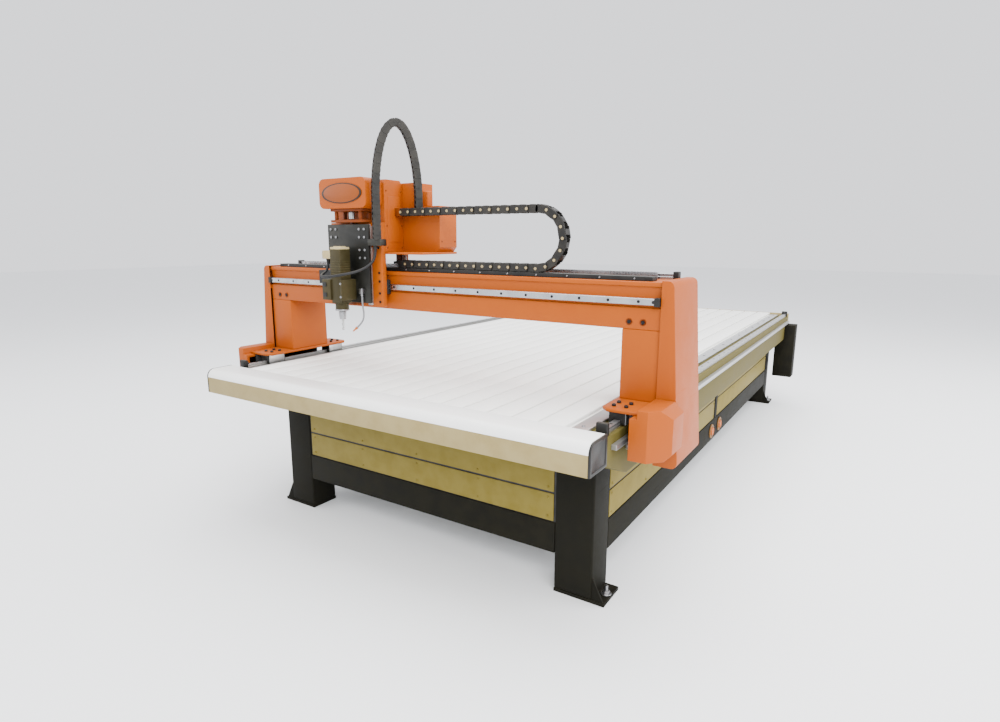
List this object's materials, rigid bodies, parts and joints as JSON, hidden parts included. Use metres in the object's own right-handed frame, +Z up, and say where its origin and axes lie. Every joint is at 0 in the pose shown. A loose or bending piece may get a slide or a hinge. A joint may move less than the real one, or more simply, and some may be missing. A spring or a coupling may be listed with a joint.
{
  "type": "gantry cnc router",
  "caption": "Gantry CNC router: steel bed with a T-slot table, travelling gantry on side rails, cross carriage with a drag chain, and a vertical spindle.",
  "frame": {"origin": "on the floor, at the middle of the four anchor holes in the feet", "axes": "+X along the gantry beam to the right of the operator, +Y along the bed away from the operator, +Z up"},
  "size_m": [2.412, 4.247, 1.964],
  "materials": {
    "frame_paint": "satin dark olive paint",
    "panel_paint": "matt khaki beige paint",
    "dark_plastic": "matt black plastic",
    "port_plastic": "moulded cable port",
    "table_plastic": "white rigid plastic",
    "aluminium_strip": "anodised",
    "gantry_paint": "semi-gloss orange paint",
    "badge_paint": "plain dark plate with no lettering",
    "ground_steel": "ground steel",
    "motor_black": "black motor casting",
    "spindle_alloy": "beige grey spindle body",
    "cable_rubber": "matt cable sheath"
  },
  "bodies": {
    "bed": {"bed_legs": "frame_paint", "foot_plates": "frame_paint", "frame_rails": "frame_paint", "side_beams": "frame_paint", "cross_beams": "frame_paint", "bed_panels": "panel_paint", "panel_backing": "dark_plastic", "port_covers": "port_plastic", "rear_hanger_post": "frame_paint", "table_planks": "table_plastic", "side_trims": "aluminium_strip", "front_nose": "table_plastic", "table_fascias": "panel_paint", "fascia_end_caps": "dark_plastic", "y_rails": "ground_steel", "y_racks": "ground_steel", "y_stops": "dark_plastic"},
    "gantry": {"gantry_base_plates": "gantry_paint", "base_plate_bolts": "ground_steel", "y_bearing_blocks": "ground_steel", "gantry_columns": "gantry_paint", "gantry_beam": "gantry_paint", "side_covers": "gantry_paint", "drive_covers": "gantry_paint", "y_gear_motors": "motor_black", "x_rails_and_rack": "ground_steel", "x_stops": "dark_plastic", "chain_tray": "dark_plastic", "chain_lower_run": "dark_plastic"},
    "right_pinion": {"right_y_pinion": "ground_steel"},
    "left_pinion": {"left_y_pinion": "ground_steel"},
    "chain_bend": {"chain_bend_loop": "dark_plastic"},
    "x_carriage": {"saddle_plate": "gantry_paint", "x_bearing_blocks": "ground_steel", "carriage_roof": "gantry_paint", "carriage_cover": "gantry_paint", "rear_motor_case": "gantry_paint", "x_motor": "motor_black", "carriage_brackets": "gantry_paint", "z_rails": "ground_steel", "z_screw_mount": "motor_black", "z_motor": "motor_black", "z_head_cover": "gantry_paint", "head_badge_plate": "badge_paint", "chain_upper_run": "dark_plastic", "z_chain_arch": "dark_plastic"},
    "x_gear": {"x_pinion": "ground_steel"},
    "z_screw": {"z_ball_screw": "ground_steel"},
    "z_slide_body": {"z_bearing_blocks": "ground_steel", "z_plate": "aluminium_strip", "spindle_body": "spindle_alloy", "spindle_clamp": "aluminium_strip", "terminal_box": "spindle_alloy", "spindle_cable": "cable_rubber", "air_hose": "cable_rubber", "hose_fittings": "aluminium_strip"},
    "spindle_rotor": {"spindle_shaft": "ground_steel", "collet_nut": "ground_steel", "cutting_tool": "ground_steel"}
  },
  "joints": [
    {"name": "y_slide", "type": "slide", "parent": "bed", "child": "gantry", "axis": [0, 1, 0], "range_m": [-0.1, 3.3]},
    {"name": "x_slide", "type": "slide", "parent": "gantry", "child": "x_carriage", "axis": [1, 0, 0], "range_m": [-0.4, 1], "deforming": ["chain_lower_run", "chain_upper_run"]},
    {"name": "chain_follow", "type": "slide", "parent": "gantry", "child": "chain_bend", "axis": [1, 0, 0], "range_m": [-0.21, 0.51]},
    {"name": "z_slide", "type": "slide", "parent": "x_carriage", "child": "z_slide_body", "axis": [0, 0, 1], "range_m": [-0.2, 0.005], "deforming": ["z_chain_arch"]},
    {"name": "right_pinion_spin", "type": "hinge", "parent": "gantry", "child": "right_pinion", "pos_m": [1.1, -1.938, 0.702], "axis": [1, 0, 0], "continuous": true},
    {"name": "left_pinion_spin", "type": "hinge", "parent": "gantry", "child": "left_pinion", "pos_m": [-1.1, -1.938, 0.702], "axis": [1, 0, 0], "continuous": true},
    {"name": "x_pinion_spin", "type": "hinge", "parent": "x_carriage", "child": "x_gear", "pos_m": [-0.25, -1.6842, 1.34], "axis": [0, 0, 1], "continuous": true},
    {"name": "z_screw_spin", "type": "hinge", "parent": "x_carriage", "child": "z_screw", "pos_m": [-0.37, -1.908, 1.3], "axis": [0, 0, 1], "continuous": true},
    {"name": "spindle_spin", "type": "hinge", "parent": "z_slide_body", "child": "spindle_rotor", "pos_m": [-0.37, -1.9925, 1.1], "axis": [0, 0, 1], "continuous": true}
  ],
  "couplings": [
    {"joint": "chain_follow", "follows": "x_slide", "ratio": 0.5},
    {"joint": "right_pinion_spin", "follows": "y_slide", "rad_per_m": 50},
    {"joint": "left_pinion_spin", "follows": "y_slide", "rad_per_m": 50},
    {"joint": "x_pinion_spin", "follows": "x_slide", "rad_per_m": 50},
    {"joint": "z_screw_spin", "follows": "z_slide", "rad_per_m": -628.32}
  ]
}
